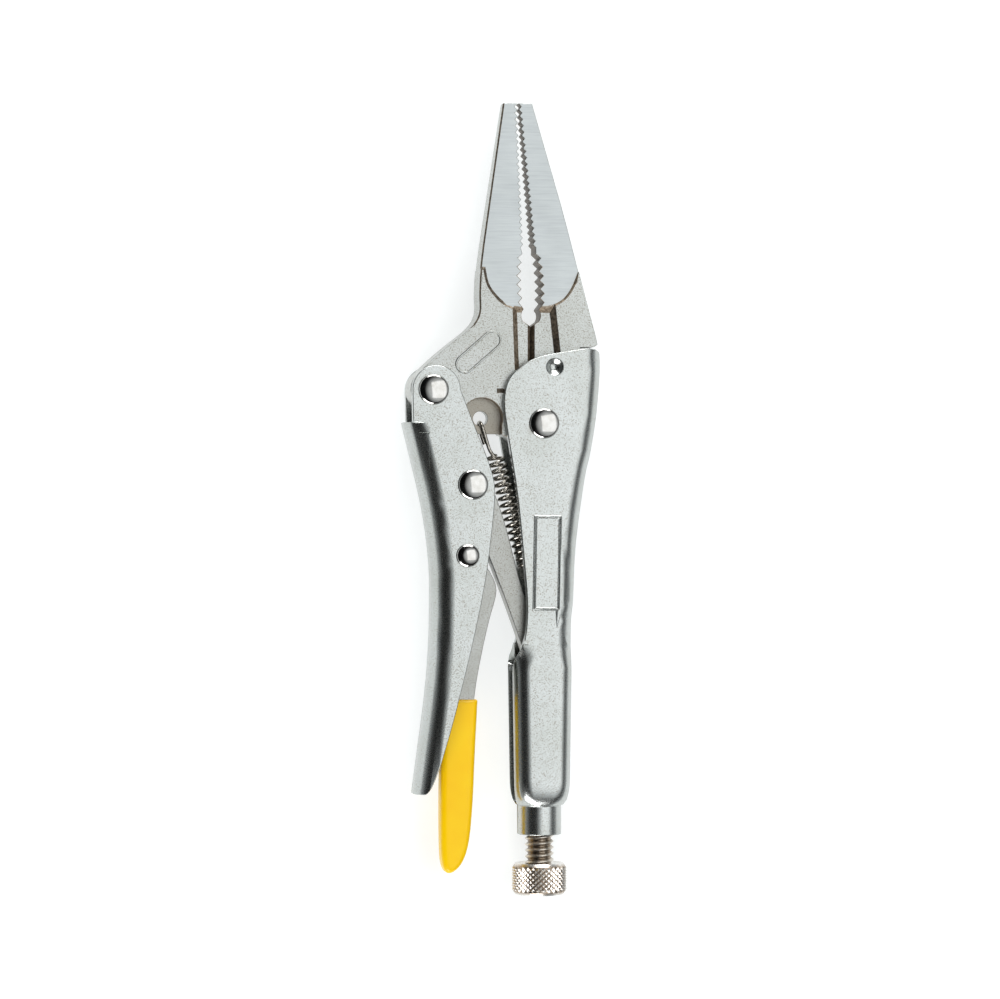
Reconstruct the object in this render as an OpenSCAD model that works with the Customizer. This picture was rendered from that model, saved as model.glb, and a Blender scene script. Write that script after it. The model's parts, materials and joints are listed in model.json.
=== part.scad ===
// Long-nose locking pliers, shown locked with the jaw tips together.
// Lying flat: +Y runs from the adjusting knob to the jaw tips, +Z is up through the rivets.
// The outlines are drawn about the main pivot, and placed() moves them to the row's origin,
// which is under the middle of the tool.

/* [Overall] */
// Main pivot to the jaw tips
jaw_reach = 66.8; // [56:0.2:82]
// Main pivot to the end of the folded handle's tube
handle_reach = 79.6; // [74:0.2:96]
// Main pivot to the end of the lever handle
lever_reach = 77.0; // [66:0.2:92]
// Main pivot to the end of the vinyl grip
grip_reach = 93.9; // [90:0.2:112]

/* [Linkage] */
// Lever pivot, to the left of the main pivot
arm_out = 23.2; // [21:0.1:28]
// Lever pivot, above the main pivot
arm_up = 6.94; // [5.8:0.01:8.3]
// Lever pivot to the toggle link's pivot
toggle_arm = 21.33; // [20:0.01:23]
// Slant of that line from straight down
toggle_slant = 22.73; // [21:0.01:24]
// Length of the toggle link, between the middles of its round ends
link_len = 41.74; // [38:0.01:50]
// Lever pivot to the release lever's pivot
release_arm = 35.11; // [33:0.01:38]
// Slant of that line from straight down
release_slant = 11.74; // [10:0.01:13]
// Gap left between the link's lower end and the adjusting screw
toggle_gap = 2.2; // [2:0.1:4]

/* [Folded sheet] */
// Thickness of the handle sheet
sheet_t = 1.9; // [1.5:0.05:2.4]
// Width inside the folded handles
inner_w = 8.2; // [6.8:0.1:10]
// Outer radius of the folds along the handle backs
fold_r = 4.5; // [3:0.1:5]
// Width of the slot that the tube's curled edges leave
slot_w = 5.2; // [4.8:0.1:6]
// Outside diameter of the socket at the end of the tube
socket_d = 9.2; // [8.6:0.1:10.6]
// Length of the socket
socket_len = 6.2; // [5:0.1:9]

/* [Jaws] */
// Thickness of each jaw at its tip
tip_t = 3.3; // [2.4:0.1:4.4]
// Thickness of the ground cheeks where they meet the forging
cheek_t = 7.0; // [5.8:0.1:7.4]
// Width of the movable jaw at its tip
tip_w_movable = 3.0; // [2:0.1:4]
// Width of the fixed jaw at its tip
tip_w_fixed = 2.95; // [2:0.1:4]
// Gap between the tooth tips at the nose
tip_gap = 0.2; // [0.1:0.05:0.4]
// Gap between the tooth tips where the fine teeth end
fine_gap = 2.1; // [1.4:0.1:2.4]
// Pitch of the fine teeth
fine_pitch = 1.32; // [1.1:0.02:1.6]
// Depth of the fine teeth
fine_depth = 0.58; // [0.4:0.02:0.8]
// Number of coarse teeth on each jaw
coarse_teeth = 6; // [4:1:7]
// Depth of the coarse teeth
coarse_depth = 0.9; // [0.6:0.05:1]
// Radius of the round throat behind the teeth
throat_r = 2.04; // [1.7:0.02:2.2]
// Depth of the wire cutter's recess on each side
cutter_recess = 1.2; // [0.8:0.1:1.6]
// Thickness of the web that the spring hooks into
web_t = 3.0; // [2:0.1:3.6]

/* [Rivets] */
// Shank diameter of the main, lever and link rivets
rivet_d = 4.8; // [3.9:0.1:5.8]
// Head diameter of those rivets
rivet_head_d = 6.4; // [6.2:0.1:7.6]
// Shank diameter of the release lever's rivet
small_rivet_d = 3.6; // [3:0.1:4.3]
// Head diameter of the release lever's rivet
small_rivet_head_d = 4.9; // [4.7:0.1:6]
// Height of a rivet head
rivet_head_h = 1.3; // [1:0.1:1.6]

/* [Link and release lever] */
// Thickness of the toggle link
link_t = 4.4; // [3.6:0.1:4.6]
// Radius of the link's upper end
link_head_r = 4.3; // [4:0.1:5]
// Radius of the link's lower end, which meets the adjusting screw
link_foot_r = 3.0; // [2.4:0.1:3.2]
// Thickness of the release lever
release_t = 3.0; // [2.4:0.1:3.4]
// Thickness of the vinyl skin on the grip
grip_skin = 1.15; // [0.8:0.05:1.3]

/* [Adjusting screw] */
// Outside diameter of the thread
screw_d = 6.0; // [5:0.05:7.3]
// Thread pitch
screw_pitch = 1.27; // [1:0.01:1.5]
// Diameter of the knob
knob_d = 11.6; // [10:0.1:14]
// Length of the knob
knob_len = 6.6; // [5:0.1:9]
// Screw showing between the socket and the knob
screw_show = 5.9; // [4:0.1:12]

/* [Spring] */
// Outside diameter of the coils
spring_d = 4.2; // [3.4:0.1:4.2]
// Wire diameter
wire_d = 0.75; // [0.6:0.05:0.8]
// Distance between coils
coil_pitch = 1.5; // [1.2:0.05:2]
// Radius of the hole in the jaw's web
spring_hole_r = 1.55; // [1.3:0.05:1.8]

/* [Clearances] */
// Radial clearance of a rivet in the piece that turns on it
pin_clear = 0.08; // [0.05:0.01:0.1]
// Radial clearance of a rivet in the piece that it is headed over
fill_clear = 0.02; // [0.01:0.01:0.04]
// Clearance between a flat piece and the handle wall beside it
side_clear = 0.15; // [0.1:0.01:0.25]
// Clearance between the moving outlines
edge_clear = 0.4; // [0.3:0.05:0.6]
// Clearance between the release lever and the link it will push on
release_clear = 0.8; // [0.7:0.05:1]

/* [Hidden] */
round_fn = 48;      // facets of a round part in the preview
bend_steps = 4;     // flats drawn around each fold
eps = 0.01;

// Widths across the tool, as half widths about its middle plane
wall_in = inner_w / 2;
wall_out = wall_in + sheet_t;
body_z = wall_in - side_clear;
head_z = wall_out + rivet_head_h;

// Pivots, seen from the main pivot
function slant(length, angle) = [length * sin(angle), -length * cos(angle)];
lever_pin = [-arm_out, arm_up];
link_pin = lever_pin + slant(toggle_arm, toggle_slant);
release_pin = lever_pin + slant(release_arm, release_slant);
// The link's lower end lies on the adjusting screw's axis
link_foot = [0, link_pin[1] - sqrt(pow(link_len, 2) - pow(link_pin[0], 2))];

// The row's origin is under the middle of the tool's bounding box
socket_end = handle_reach + socket_len;
knob_top = socket_end + screw_show;
tool_end = knob_top + knob_len;
handle_back = 12.6;                  // furthest right that the fixed handle's back bows
lever_back = arm_out + 5.9;          // furthest left that the lever's back bows
pivot_x = (lever_back - handle_back) / 2;
pivot_y = (tool_end - jaw_reach) / 2;
module placed() translate([pivot_x, pivot_y, head_z]) children();

// ---- Curves and small shapes ----

// One point of a smooth curve from b to c, with neighbours a and d
function curve_point(a, b, c, d, t) =
    (2 * b + (c - a) * t + (2 * a - 5 * b + 4 * c - d) * t * t + (3 * b - a - 3 * c + d) * t * t * t) / 2;
// A smooth curve through the points p, with n steps in each span
function smooth(p, n) = [
    for (i = [0 : len(p) - 2], k = [0 : n - 1])
        curve_point(p[max(i - 1, 0)], p[i], p[i + 1], p[min(i + 2, len(p) - 1)], k / n),
    p[len(p) - 1]];
// Points on a circle about c, from angle a to angle b
function arc(c, r, a, b, n) = [for (k = [0 : n]) let (q = a + (b - a) * k / n) c + r * [cos(q), sin(q)]];
function mix(a, b, t) = a + (b - a) * t;
function unit(v) = v / norm(v);
function cross_z(v) = [-v[1], v[0]];

// A plate of the given thickness about the middle plane
module plate(thickness) linear_extrude(thickness, center = true) children();
// A round bar through the tool, at p
module bar(p, r, length) translate([p[0], p[1], -length / 2]) cylinder(r = r, h = length, $fn = round_fn);
// A bar with two round ends, from a to b
module capsule(a, b, ra, rb) hull() {
    translate(a) circle(ra, $fn = 32);
    translate(b) circle(rb, $fn = 32);
}
// Both cheeks of a symmetric piece
module both_sides() for (side = [0, 1]) mirror([0, 0, side]) children();

// A rivet with two domed heads over faces at z = reach and z = -reach
module rivet(p, shank_d, head_d, reach) {
    head_r = head_d / 2;
    shank_r = shank_d / 2;
    crown_r = head_r * 0.55;
    translate([p[0], p[1], 0]) rotate_extrude($fn = round_fn) polygon(concat(
        [[0, -reach - rivet_head_h]], dome(head_r, crown_r, -reach, -1),
        [[shank_r, -reach], [shank_r, reach]], rev(dome(head_r, crown_r, reach, 1)),
        [[0, reach + rivet_head_h]]));
}
// Outline of a domed head, from its flat crown out to its rim
function dome(head_r, crown_r, z, dir) = [for (k = [0 : 6])
    [crown_r + (head_r - crown_r) * sin(15 * k), z + dir * rivet_head_h * (0.2 + 0.8 * cos(15 * k))],
    [head_r, z]];
function rev(p) = [for (i = [len(p) - 1 : -1 : 0]) p[i]];

// ---- Folded sheet ----

// The outline of a fold at the right, on the face that is s inside the outer one
function fold(x, w, r, s) = let (q = max(r - s, 0.2)) [for (k = [0 : bend_steps])
    [x - s - q + q * sin(90 * k / bend_steps), w - s - q + q * cos(90 * k / bend_steps)]];
// The outline of a wall whose free edge is bent in by an angle. The bend starts at x, has the
// radius r when the angle is 90, and keeps its length, as sheet does
function curl(x, w, r, angle, s) = let (q = r * 90 / angle, mid = sheet_t / 2)
    [for (k = [bend_steps : -1 : 0]) let (a = angle * k / bend_steps)
        [x - q * sin(a) - (mid - s) * sin(a), w - mid - q + q * cos(a) + (mid - s) * cos(a)]];
function flip(p) = [for (i = [len(p) - 1 : -1 : 0]) [p[i][0], -p[i][1]]];
// A band across a channel at y: its back at x = right, and its walls' edges curled in at the left
function channel_face(start, right, w, r_curl, r_fold, angle, s) =
    let (half = concat(curl(start, w, r_curl, angle, s), fold(right, w, r_fold, s)))
        concat(half, flip(half));
function band(y, start, right, w, r_curl, r_fold, angle) = [y,
    channel_face(start, right, w, r_curl, r_fold, angle, 0),
    channel_face(start, right, w, r_curl, r_fold, angle, sheet_t)];
straight = 0.5;                      // angle that leaves a wall's edge as good as flat

// Joins bands of sheet, each [y, outer face, inner face], into one solid
module skin(bands) {
    m = len(bands[0][1]);
    points = [for (b = bands) each concat([for (q = b[1]) [q[0], b[0], q[1]]],
        [for (q = b[2]) [q[0], b[0], q[1]]])];
    last = len(bands) - 1;
    function id(row, i) = row * 2 * m + i;
    walls = [for (row = [0 : last - 1], i = [0 : m - 2]) each [
        [id(row, i), id(row, i + 1), id(row + 1, i + 1)], [id(row, i), id(row + 1, i + 1), id(row + 1, i)],
        [id(row, m + i + 1), id(row, m + i), id(row + 1, m + i)],
        [id(row, m + i + 1), id(row + 1, m + i), id(row + 1, m + i + 1)]]];
    edges = [for (row = [0 : last - 1]) each [
        [id(row, m), id(row, 0), id(row + 1, 0)], [id(row, m), id(row + 1, 0), id(row + 1, m)],
        [id(row, m - 1), id(row, 2 * m - 1), id(row + 1, 2 * m - 1)],
        [id(row, m - 1), id(row + 1, 2 * m - 1), id(row + 1, m - 1)]]];
    caps = [for (i = [0 : m - 2]) each [
        [id(0, i), id(0, m + i), id(0, m + i + 1)], [id(0, i), id(0, m + i + 1), id(0, i + 1)],
        [id(last, i), id(last, m + i + 1), id(last, m + i)],
        [id(last, i), id(last, i + 1), id(last, m + i + 1)]]];
    polyhedron(points, concat(walls, edges, caps), convexity = 6);
}

// ---- Fixed handle ----

curl_y = -46;                        // where the walls begin to curl into the tube
curl_len = 6;                        // length over which they do
tube_left = -6.2;                    // left side of the tube, where it begins
tube_right = 6.4;                    // right side of the tube, where it begins
tube_taper = 0.35;                   // how far each side has moved in where the shoulder begins
tube_fold_r = 3.4;
wall_mid = wall_out - sheet_t / 2;
curl_r = wall_mid - slot_w / 2;      // radius of the curled edges, at the middle of the sheet
shoulder = 5.4;                      // length of the rounded shoulder above the socket
socket_r = socket_d / 2;
tongue_at = [0.4, link_foot[1] + 15.9];
tongue_t = 1.3;
tongue_w = 3.2;

// The back of the fixed handle, from its top to the tube
handle_back_line = smooth([[handle_back - 0.2, 16.5], [handle_back, 11], [11.9, 2.1], [10.7, -5.6],
    [9.35, -11.8], [7.5, -25.3], [6.95, -36.5], [6.5, -41], [tube_right, curl_y + 0.1]], 4);
// The walls' free edge, from the tube up and over to the back
handle_edge_line = smooth([[-4.4, curl_y], [-3.75, -42.5], [-3.6, -36.5], [-4.4, -27.1], [-5.7, -14.5],
    [-7.7, -2], [-8.45, 4.6], [-7.4, 9.2], [-4.4, 12.1], [-0.9, 13.9], [4.1, 14.9], [8.8, 15.6],
    [11.2, 15.5]], 4);
// Everything inside the walls' edges, and all of the tube
module handle_wall_shape() polygon(concat([[-20, curl_y]], handle_edge_line,
    [[12.3, 14.9], [handle_back + 0.3, 13.8], [20, 13], [20, -socket_end], [-20, -socket_end]]));

// The walls curl in to make the tube, which closes to the round socket in a shoulder
shoulder_y = -handle_reach + shoulder;
function ease(t) = t * t * (3 - 2 * t);
function shrink(a, b, t) = mix(b, a, sqrt(1 - t * t));
function curled(left, r) = left + r + sheet_t / 2;
handle_bands = concat(
    [for (q = handle_back_line) band(q[1], -9, q[0], wall_out, curl_r, fold_r, straight)],
    [for (k = [0 : 5]) let (e = ease(k / 5)) band(curl_y - curl_len * k / 5,
        mix(-4.6 + curl_r * PI / 2, curled(tube_left, curl_r), e), tube_right, wall_out, curl_r,
        mix(fold_r, tube_fold_r, e), mix(straight, 90, e))],
    [for (k = [0 : 5]) let (t = k / 5 * 0.98, w = shrink(wall_out, socket_r, t),
        r = w - sheet_t / 2 - shrink(slot_w / 2, 0.4, t))
        band(mix(shoulder_y, -handle_reach, k / 5), curled(shrink(tube_left + tube_taper, -socket_r, t), r),
            shrink(tube_right - tube_taper, socket_r, t), w, r,
            shrink(tube_fold_r, socket_r - 0.3, t), 90)]);

module fixed_handle() color("silver") placed() difference() {
    union() {
        intersection() {
            skin(handle_bands);
            plate(2 * head_z) handle_wall_shape();
        }
        // Socket for the adjusting screw, with a seam where the sheet meets
        translate([0, -handle_reach + 1, 0]) rotate([90, 0, 0])
            cylinder(r = socket_r, h = socket_len + 1, $fn = round_fn);
        spring_tongue();
        plain_border();
    }
    translate([0, -handle_reach + 2, 0]) rotate([90, 0, 0])
        cylinder(r = screw_d / 2 + pin_clear, h = socket_len + 3, $fn = round_fn);
    translate([-socket_r - 1, -socket_end - 1, -0.2]) cube([socket_r, socket_len + 1.5, 0.4]);
    bar([0, 0], rivet_d / 2 + fill_clear, 3 * head_z);
    both_sides() stake_dimple();
    // Window left in the back where the spring tongue was cut and bent in
    translate([tube_right - 2.5, tongue_at[1] + tongue_t / 2, -tongue_w / 2 - 0.2])
        cube([4, 5, tongue_w + 0.4]);
}
// Conical stake that holds the fixed jaw in the handle
stake_at = [2.2, 11.75];
stake_r = 2.1;
module stake_dimple() translate([stake_at[0], stake_at[1], wall_out - 1.2])
    cylinder(r1 = 0.5, r2 = stake_r, h = 1.2 + eps, $fn = round_fn);
// Tongue bent in from the back, which the spring's lower hook goes round
module spring_tongue() translate([tongue_at[0] - 1, tongue_at[1] - tongue_t / 2, -tongue_w / 2])
    cube([tube_right - tongue_at[0] + 0.4, tongue_t, tongue_w]);
// Plain raised border pressed into the near wall
module plain_border() translate([0.65, -29, wall_out - 0.1]) rotate([0, 0, -1])
    linear_extrude(0.35) difference() {
        square([5.6, 19.5], center = true);
        square([4.8, 18.7], center = true);
    }

// ---- Jaws ----

fine_end = 36;                       // where the fine teeth end
coarse_end = 24.3;                   // where the coarse teeth end
throat_at = [-2.25, 22.5];
apex_y = throat_at[1] - 2.25;        // point of the throat, on the cutter's parting line
parting_x = -2.2;                    // cutter's parting line
ear_r = 7.0;                         // ear of the movable jaw about the main pivot
nose_x = -4.95;                      // movable jaw's tooth line at the tip
nose_end_x = -3.86;                  // movable jaw's tooth line where the fine teeth end

// Teeth along a line from a to b: n teeth cut to the given depth on its left (side 1) or right (-1)
function teeth(a, b, n, depth, side) = let (out = cross_z(unit(b - a)) * depth * side)
    [for (k = [0 : n - 1]) each [mix(a, b, k / n), mix(a, b, (k + 0.5) / n) + out]];
fine_n = round((jaw_reach - fine_end) / fine_pitch);
// Coarse teeth follow a hollow: how far the tooth line falls back at k of n
function hollow(k) = 0.35 * sin(180 * k / coarse_teeth);
function coarse(a, b, depth, side) = [for (k = [0 : coarse_teeth - 1]) each [
    mix(a, b, k / coarse_teeth) + [side * hollow(k), 0],
    mix(a, b, (k + 0.5) / coarse_teeth) + [side * (hollow(k + 0.5) + depth), 0]]];

// Tooth edge of each jaw, from the tip down to the throat
movable_teeth = concat(
    teeth([nose_x, jaw_reach], [nose_end_x, fine_end], fine_n, fine_depth, -1),
    coarse([nose_end_x - 0.2, fine_end - 0.6], [-3.95, coarse_end], coarse_depth, -1));
fixed_teeth = concat(
    teeth([nose_x + tip_gap, jaw_reach], [nose_end_x + fine_gap, fine_end], fine_n, fine_depth, 1),
    coarse([nose_end_x + fine_gap + 0.5, fine_end - 0.6], [-0.55, coarse_end], coarse_depth, 1));

// Outer edges of the noses, from the tip down
movable_outer = smooth([[nose_x - tip_w_movable, jaw_reach], [-10.7, 48.7], [-12.8, 34], [-13.3, 27.4],
    [-13.35, 22.9], [-15.2, 19.8], [-19.2, 16.6], [-arm_out + 0.8, arm_up + 7],
    [-arm_out - 2.0, arm_up + 4.4], [-arm_out - 3.9, arm_up + 2.2]], 4);
fixed_outer = smooth([[nose_x + tip_gap + tip_w_fixed, jaw_reach], [4.15, 45.75], [8.7, 28],
    [11.3, 18.3]], 4);

tail_right = handle_back - fold_r - side_clear;  // where the handle's fold begins
arm_r = 4.55;                        // round end of the arm about the lever pivot
web_y = -2.2;                        // lower edge of the web

module movable_jaw_shape() union() {
    polygon(concat(
        movable_teeth, arc(throat_at, throat_r, 140, 215, 4), [[parting_x - 0.05, apex_y],
        [parting_x - 0.05, 3], [0, 0], [-3.6, -5.9], [-7.4, web_y - 0.6], [-9.2, web_y],
        [-16.5, web_y], [-arm_out + 2.6, arm_up - 4.4], [-arm_out, arm_up]],
        rev(movable_outer)));
    translate(lever_pin) circle(arm_r, $fn = round_fn);
    circle(ear_r, $fn = round_fn);
}
// The tail sits in the handle, hollowed round the movable jaw's ear
module fixed_jaw_shape() difference() {
    polygon(concat(rev(fixed_outer), fixed_teeth, arc(throat_at, throat_r, 40, -35, 4),
        [[parting_x + 0.05, apex_y], [parting_x + 0.05, 5], [tail_right - 0.6, 5], [tail_right, 11],
        [tail_right, 15.9], [11, 16.0], [11.7, 16.5]]));
    circle(ear_r + edge_clear / 2, $fn = round_fn);
}

// Removes what lies above a ground cheek, which slopes to the tip, inside the outline given
module grind() both_sides() intersection() {
    translate([0, 0, 0.5]) linear_extrude(body_z + 1) children();
    translate([-30, coarse_end, cheek_t / 2]) rotate([cheek_angle, 0, 0]) translate([0, -20, 0])
        cube([60, jaw_reach + 20, 12]);
}
cheek_angle = -atan((cheek_t - tip_t) / 2 / (jaw_reach - coarse_end));
// Lower edges of the ground cheeks
movable_cheek = concat([[-30, 33.4]], smooth([[-12.2, 32.2], [-11.5, 29], [-9.9, 26.6], [-8.0, 24.9],
    [-6.1, 24.1]], 4), [[parting_x, 24.1]]);
fixed_cheek = concat([[nose_x - 1, 24.4]], smooth([[1.0, 24.4], [2.6, 24.8], [4.6, 26], [6.2, 28.1],
    [7.5, 31]], 4), [[8.4, 33.4], [30, 35]]);
// Everything above such an edge, out to the tooth side and past the tips
module above(edge) let (first = edge[0], last = edge[len(edge) - 1])
    polygon(concat(edge, [[last[0], jaw_reach + 5], [first[0], jaw_reach + 5]]));

// The wire cutter's recess: a flat floor, a sloped wall through x = edge that leans by the angle
// lean, a groove along the parting line, and a sloped end below the ground cheek
pocket_end = 23.1;                   // where the floor ends
pocket_wall = 1.1;                   // run of the sloped wall
groove_w = 0.7;                      // half width of the groove
groove_deep = 0.9;                   // depth of the groove below the floor
end_slope = 1.6;                     // run of the sloped end for each mm of its rise
module cutter_pocket(edge, side, lean) both_sides() intersection() {
    union() {
        translate([edge, pocket_end, body_z]) rotate([0, 0, lean]) rotate([90, 0, 0])
            linear_extrude(60, center = true) polygon([[0, eps], [-side * pocket_wall, -cutter_recess],
                [-side * 4, -cutter_recess], [-side * 4, eps]]);
        translate([0, 0, body_z]) rotate([90, 0, 0]) linear_extrude(80, center = true)
            polygon([[edge - side * 1.6, eps], [edge - side * 1.6, -cutter_recess],
                [parting_x + side * groove_w, -cutter_recess], [parting_x, -cutter_recess - groove_deep],
                [parting_x - side * 4, -cutter_recess - groove_deep], [parting_x - side * 4, eps]]);
    }
    translate([-30, 0, body_z]) rotate([90, 0, 90]) linear_extrude(60)
        polygon([[ear_r - 0.3, 1], [ear_r - 0.3, -3], [pocket_end - (3 - cutter_recess) * end_slope, -3],
            [pocket_end + (1 + cutter_recess) * end_slope, 1]]);
}

spring_hole = [-12.7, 1.0];
module web_recess() both_sides() translate([0, 0, web_t / 2]) linear_extrude(body_z) union() {
    translate(spring_hole) circle(4.3, $fn = round_fn);
    translate([spring_hole[0] - 4.3, web_y - 6]) square([8.4, 6 + spring_hole[1] - web_y]);
}

module movable_jaw() color("gainsboro") placed() difference() {
    union() {
        plate(2 * body_z) movable_jaw_shape();
        raised_ring();
    }
    grind() above(movable_cheek);
    cutter_pocket(-6.3, -1, 2);
    web_recess();
    bar([0, 0], rivet_d / 2 + pin_clear, 3 * body_z);
    bar(lever_pin, rivet_d / 2 + pin_clear, 3 * body_z);
    bar(spring_hole, spring_hole_r, 3 * body_z);
    both_sides() translate([-9.6, 6.3, body_z - 0.5]) cube([1.6, 0.9, 2]);
}
// Plain raised outline forged on the near face of the arm
ring_at = [-13.5, 14.8];
ring_slant = 41;
module raised_ring() translate([ring_at[0], ring_at[1], 0]) rotate([0, 0, ring_slant])
    linear_extrude(body_z + 0.25) difference() {
        obround(7.6, 3.9);
        obround(7.6, 3.2);
    }
module obround(straight, d) union() {
    square([straight, d], center = true);
    for (side = [-1, 1]) translate([side * straight / 2, 0]) circle(d = d, $fn = round_fn);
}

module fixed_jaw() color("gainsboro") placed() difference() {
    plate(2 * body_z) fixed_jaw_shape();
    grind() above(fixed_cheek);
    cutter_pocket(2.9, 1, 6.2);
}

// ---- Lever handle ----

lever_ear_r = 5.05;
lever_ear_shift = 0.6;               // the ears are cut a little short on the outside
lever_ear_left = -arm_out + lever_ear_shift - lever_ear_r;
notch_y = 0.2;                       // top of the lever's back
// Outer line of the lever's back, from its top down
lever_back_line = smooth([[-lever_back, notch_y + 0.2], [-27.9, -4.5], [-25, -16.7], [-23.45, -27.1],
    [-23.1, -36.4], [-23.8, -53], [-26.9, -lever_reach]], 4);
// Free edge of the lever's walls, from the ear down to the tip
lever_edge_line = smooth([[-17.9, 7.9], [-14.9, 0.15], [-11.9, -7.4], [-10.45, -12.5], [-10.5, -17.5],
    [-11.3, -25.3], [-12.6, -34.3], [-15.4, -47.5], [-19.3, -62.8], [-22.6, -lever_reach + 3.6],
    [-24.4, -lever_reach + 0.3], [-25.6, -lever_reach]], 4);

module lever_wall_shape() polygon(concat(lever_edge_line,
    [[-32, -lever_reach], [-32, notch_y], [-19.5, notch_y], [-19.5, 9]]));
module lever_ear_shape() difference() {
    union() {
        translate(lever_pin + [lever_ear_shift, 0]) circle(lever_ear_r, $fn = round_fn);
        intersection() {
            polygon(concat([[lever_ear_left, arm_up], [-arm_out + 2, arm_up + 4.6]], lever_edge_line));
            translate([lever_ear_left, -2]) square([2 * lever_ear_r + 8, arm_up + 8]);
        }
    }
    translate([-40, -10]) square([15.8, 10 + notch_y]);
}
module lever_handle() color("silver") placed() difference() {
    union() {
        intersection() {
            mirror([1, 0, 0]) skin([for (q = lever_back_line)
                band(q[1], 8, -q[0], wall_out, curl_r, fold_r, straight)]);
            plate(2 * head_z) lever_wall_shape();
        }
        both_sides() translate([0, 0, wall_in]) linear_extrude(sheet_t) lever_ear_shape();
    }
    bar(lever_pin, rivet_d / 2 + fill_clear, 3 * head_z);
    bar(link_pin, rivet_d / 2 + fill_clear, 3 * head_z);
    bar(release_pin, small_rivet_d / 2 + fill_clear, 3 * head_z);
}

// ---- Toggle link and release lever ----

link_dir = unit(link_foot - link_pin);
link_out = cross_z(link_dir);        // towards the right of the link
function on_link(along, out) = link_pin + along * link_dir + out * link_out;
link_edge = 1.7;                     // left edge of the link, from the line between its ends

module link_shape() union() {
    translate(link_pin) circle(link_head_r, $fn = round_fn);
    translate(link_foot) circle(link_foot_r, $fn = round_fn);
    polygon(concat(
        smooth([on_link(-1, 4.1), on_link(6, 4.15), on_link(12, 3.8), on_link(18, 3.1),
            on_link(26, 2.3), on_link(34, 2.2), on_link(link_len - 0.4, 2.9)], 4),
        smooth([on_link(link_len, -2.9), on_link(36, -2.0), on_link(28, -link_edge),
            on_link(14, -link_edge), on_link(7, -2.4), on_link(0, -4.2)], 4)));
}
module toggle_link() color("darkgray") placed() difference() {
    union() {
        plate(link_t) link_shape();
        bar(link_pin, rivet_d / 2 + 1.2, 2 * body_z);
    }
    bar(link_pin, rivet_d / 2 + pin_clear, 3 * body_z);
}

// The nose pushes on the link when the grip is squeezed towards the lever
nose_r = 1.3;
nose_at = on_link(9.5, -link_edge - release_clear - nose_r);
grip_top = -57.4;
release_edge = -link_edge - release_clear;
release_right = smooth([on_link(18.4, release_edge), on_link(22.6, release_edge - 0.1), [-10.9, -41.3],
    [-12.5, -48.4], [-13.95, -57], [-15.2, -72], [-16.2, -grip_reach + 10]], 4);
release_left = smooth([[-18.4, -grip_reach + 6], [-19.7, -grip_reach + 12], [-19.9, -72], [-19.6, -57],
    [-19.3, -42], [-19.0, -30]], 4);
module release_shape() union() {
    capsule(release_pin, nose_at, small_rivet_d / 2 + 1.2, nose_r);
    polygon(concat(release_right, release_left, [release_pin + [-2.4, 1.6], release_pin + [2, 1]]));
    translate(release_pin) circle(small_rivet_d / 2 + 1.2, $fn = round_fn);
}
module release_lever() color("darkgray") placed() difference() {
    union() {
        plate(release_t) release_shape();
        bar(release_pin, small_rivet_d / 2 + 0.9, 2 * body_z);
    }
    bar(release_pin, small_rivet_d / 2 + pin_clear, 3 * body_z);
}

// Dipped vinyl skin over the end of the release lever, with rounded edges
grip_line = smooth([[-13.3, grip_top], [-13.9, -69], [-14.35, -79], [-15.1, -grip_reach + 7],
    [-16.5, -grip_reach + 2.6], [-18.6, -grip_reach + 0.5], [-20.2, -grip_reach + 0.8],
    [-21.0, -grip_reach + 4.4], [-21.15, -79], [-21.0, -69], [-20.7, grip_top]], 4);
grip_mid = -17.8;                    // the inset is taken towards the grip's middle line
module grip_shape(inset) polygon([for (q = grip_line)
    let (m = [grip_mid, min(max(q[1], -grip_reach + 4), grip_top - 3)]) q + inset * unit(m - q)]);
grip_half = release_t / 2 + grip_skin;
module release_grip() color("gold") placed() difference() {
    union() {
        plate(2 * grip_half - 1.4) grip_shape(0);
        plate(2 * grip_half - 0.6) grip_shape(0.25);
        plate(2 * grip_half) grip_shape(0.8);
    }
    plate(release_t) release_shape();
}

// ---- Return spring ----

coil_r = (spring_d - wire_d) / 2;
wire_r = wire_d / 2;
coil_top = [-9.5, -6.6];
coil_end = [-2.3, tongue_at[1] + 5.4];
coil_len = norm(coil_end - coil_top);
coil_turns = round(coil_len / coil_pitch);
ring_steps = 10;                     // rings in each turn of the sweep
wire_sides = 6;
coil_dir = unit(coil_end - coil_top);
coil_side = cross_z(coil_dir);
hook_z = web_t / 2 + wire_r + 0.15;
function lift(p, z) = [p[0], p[1], z];
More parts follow.
